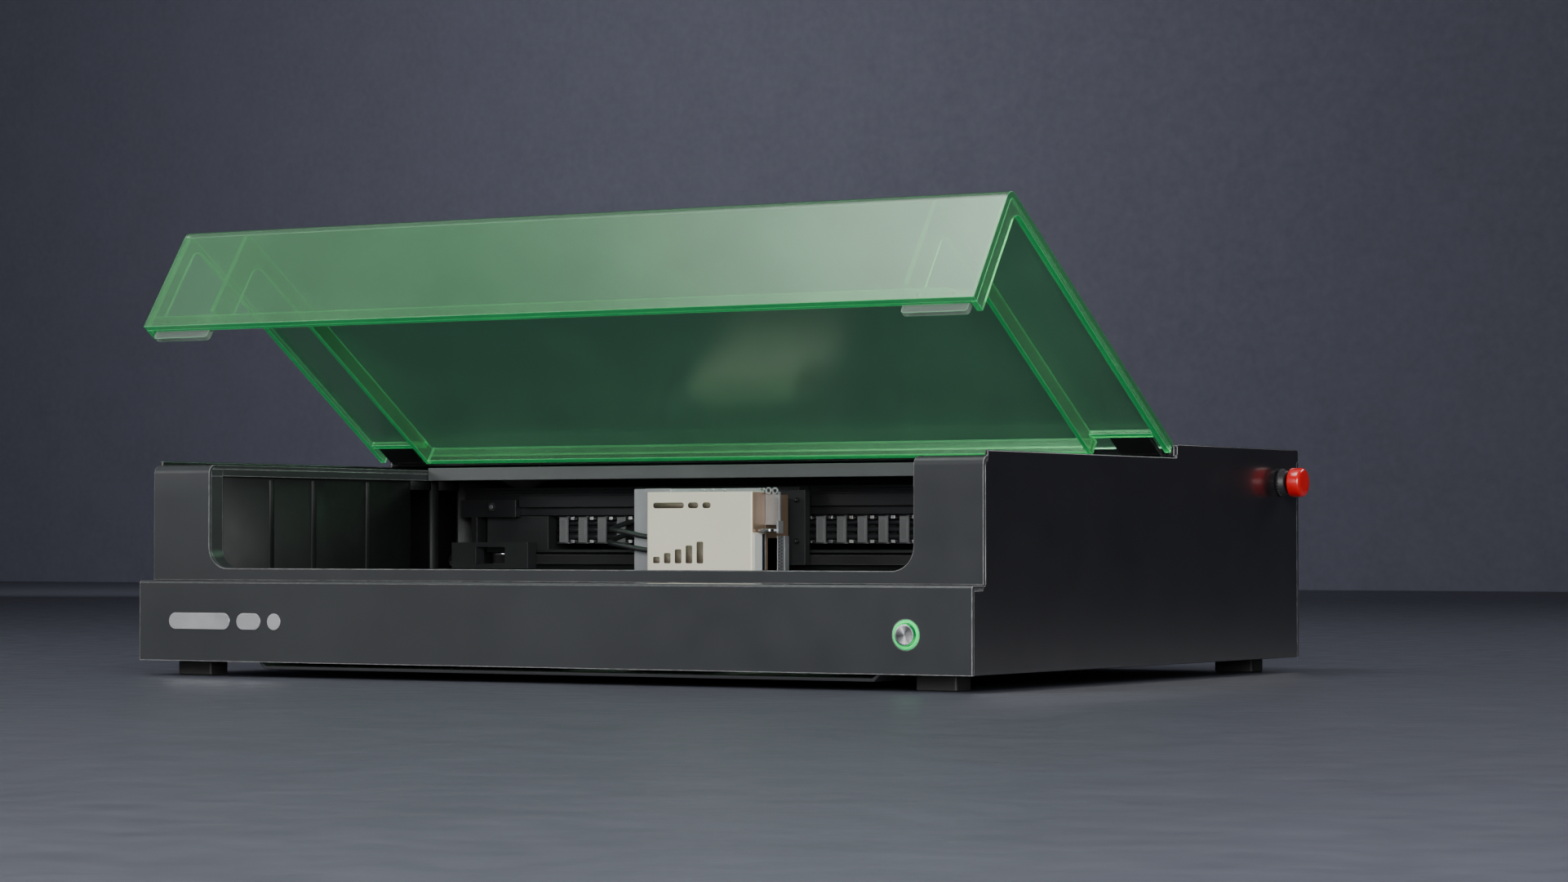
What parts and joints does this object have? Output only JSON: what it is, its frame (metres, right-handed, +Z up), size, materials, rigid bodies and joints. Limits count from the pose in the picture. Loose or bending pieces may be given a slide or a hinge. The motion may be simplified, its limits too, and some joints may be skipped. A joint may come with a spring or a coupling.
{
  "type": "desktop laser cutter",
  "caption": "Enclosed desktop laser cutter with a tinted lid hinged at the back, an X-Y gantry carrying a laser head, a lit power button and an emergency stop.",
  "frame": {"origin": "middle of the machine's footprint, with the emergency stop and the exhaust port counted, on the floor", "axes": "+X to the machine's right as seen from the front, -Y towards the user, +Z up"},
  "size_m": [0.7864, 0.592, 0.3602],
  "materials": {
    "grey_coat": "satin powder coat",
    "black_gloss": "gloss",
    "dark_coat": "matt powder coat",
    "lip_grey": "satin",
    "pan_steel": "satin",
    "bed_alloy": "brushed",
    "rail_steel": "ground",
    "pulley_alloy": "machined",
    "black_anodised": "bead blasted, anodised",
    "motor_black": "satin",
    "supply_case": "plain",
    "black_plastic": "fine texture",
    "rubber_black": "matt",
    "hinge_black": "satin",
    "green_acrylic": "polished",
    "clear_grey_pad": "frosted",
    "champagne_cover": "satin anodised",
    "light_plate": "brushed",
    "bronze_body": "bronze anodised",
    "button_glow": "lit ring",
    "button_steel": "turned",
    "estop_red": "gloss"
  },
  "bodies": {
    "enclosure": {"base_pan": "pan_steel", "front_lower_panel": "grey_coat", "front_frame": "grey_coat", "rear_panel": "black_gloss", "rear_deck": "black_gloss", "rear_lip": "lip_grey", "side_panel_left": "black_gloss", "side_panel_right": "black_gloss", "inner_wall_left": "dark_coat", "inner_wall_right": "dark_coat", "top_cover_left": "grey_coat", "top_cover_right": "grey_coat", "y_rail_left": "rail_steel", "y_rail_right": "rail_steel", "hinge_bracket_left": "hinge_black", "hinge_bracket_right": "hinge_black", "foot_front_left": "rubber_black", "foot_front_right": "rubber_black", "foot_rear_left": "rubber_black", "foot_rear_right": "rubber_black", "work_bed": "bed_alloy", "y_motor": "motor_black", "y_belt": "rubber_black", "exhaust_duct": "black_plastic", "power_supply": "supply_case", "power_inlet": "black_plastic", "button_ring": "button_glow", "estop_collar": "black_plastic"},
    "lid": {"lid_shell": "green_acrylic", "lid_rib_frame": "green_acrylic", "lid_cheek_left": "green_acrylic", "lid_cheek_right": "green_acrylic", "lid_pad_left": "clear_grey_pad", "lid_pad_right": "clear_grey_pad", "hinge_leaf_left": "hinge_black", "hinge_leaf_right": "hinge_black"},
    "gantry": {"x_beam": "black_anodised", "gantry_end_left": "black_anodised", "gantry_end_right": "black_anodised", "chain_tray": "dark_coat", "tensioner_block": "lip_grey", "x_motor": "motor_black", "x_belt": "rubber_black", "x_drag_chain": "black_plastic"},
    "carriage": {"carriage_plate": "dark_coat"},
    "laser_head": {"laser_front_cover": "champagne_cover", "laser_back_plate": "light_plate", "laser_housing": "bronze_body", "laser_heatsink": "black_anodised", "laser_nozzle": "rail_steel"},
    "focus_lever": {"focus_lever": "rail_steel"},
    "power_button": {"power_button": "button_steel"},
    "estop_button": {"estop_button": "estop_red"},
    "exhaust_rotor": {"exhaust_rotor": "black_plastic"},
    "rocker_switch": {"rocker_switch": "black_plastic"},
    "x_idler_pulley": {"x_idler_pulley": "pulley_alloy"},
    "x_drive_pulley": {"x_drive_pulley": "pulley_alloy"},
    "y_drive_pulley": {"y_drive_pulley": "pulley_alloy"},
    "y_idler_pulley": {"y_idler_pulley": "pulley_alloy"}
  },
  "joints": [
    {"name": "lid_hinge", "type": "hinge", "parent": "enclosure", "child": "lid", "pos_m": [-0.01075, 0.0305, 0.177], "axis": [-1, 0, 0], "range_deg": [-34, 46]},
    {"name": "gantry_slide", "type": "slide", "parent": "enclosure", "child": "gantry", "axis": [0, 1, 0], "range_m": [-0.23, 0.07]},
    {"name": "carriage_slide", "type": "slide", "parent": "gantry", "child": "carriage", "axis": [1, 0, 0], "range_m": [-0.195, 0.25], "deforming": ["x_drag_chain"]},
    {"name": "head_height", "type": "slide", "parent": "carriage", "child": "laser_head", "axis": [0, 0, 1], "range_m": [-0.02, 0.006]},
    {"name": "focus_lever_fold", "type": "hinge", "parent": "laser_head", "child": "focus_lever", "pos_m": [0.02725, -0.0085, 0.1165], "axis": [1, 0, 0], "range_deg": [0, 90]},
    {"name": "power_button_push", "type": "slide", "parent": "enclosure", "child": "power_button", "axis": [0, 1, 0], "range_m": [0, 0.0018], "stiffness_N_per_m": 600},
    {"name": "estop_push", "type": "slide", "parent": "enclosure", "child": "estop_button", "axis": [-1, 0, 0], "range_m": [0, 0.003], "stiffness_N_per_m": 1200},
    {"name": "exhaust_spin", "type": "hinge", "parent": "enclosure", "child": "exhaust_rotor", "pos_m": [-0.19075, 0.25, 0.095], "axis": [0, 1, 0], "continuous": true},
    {"name": "rocker_tilt", "type": "hinge", "parent": "enclosure", "child": "rocker_switch", "pos_m": [0.18925, 0.2625, 0.045], "axis": [1, 0, 0], "range_deg": [0, 18]},
    {"name": "x_idler_spin", "type": "hinge", "parent": "gantry", "child": "x_idler_pulley", "pos_m": [-0.29375, 0.0705, 0.0922], "axis": [0, 0, 1], "continuous": true},
    {"name": "x_drive_spin", "type": "hinge", "parent": "gantry", "child": "x_drive_pulley", "pos_m": [0.27425, 0.0705, 0.0922], "axis": [0, 0, 1], "continuous": true},
    {"name": "y_drive_spin", "type": "hinge", "parent": "enclosure", "child": "y_drive_pulley", "pos_m": [-0.30875, 0.2255, 0.038], "axis": [1, 0, 0], "continuous": true},
    {"name": "y_idler_spin", "type": "hinge", "parent": "enclosure", "child": "y_idler_pulley", "pos_m": [-0.30875, -0.2495, 0.038], "axis": [1, 0, 0], "continuous": true}
  ],
  "couplings": [
    {"joint": "x_idler_spin", "follows": "carriage_slide", "rad_per_m": 115.61},
    {"joint": "x_drive_spin", "follows": "carriage_slide", "rad_per_m": 115.61},
    {"joint": "y_drive_spin", "follows": "gantry_slide", "rad_per_m": -115.61},
    {"joint": "y_idler_spin", "follows": "gantry_slide", "rad_per_m": -115.61}
  ]
}
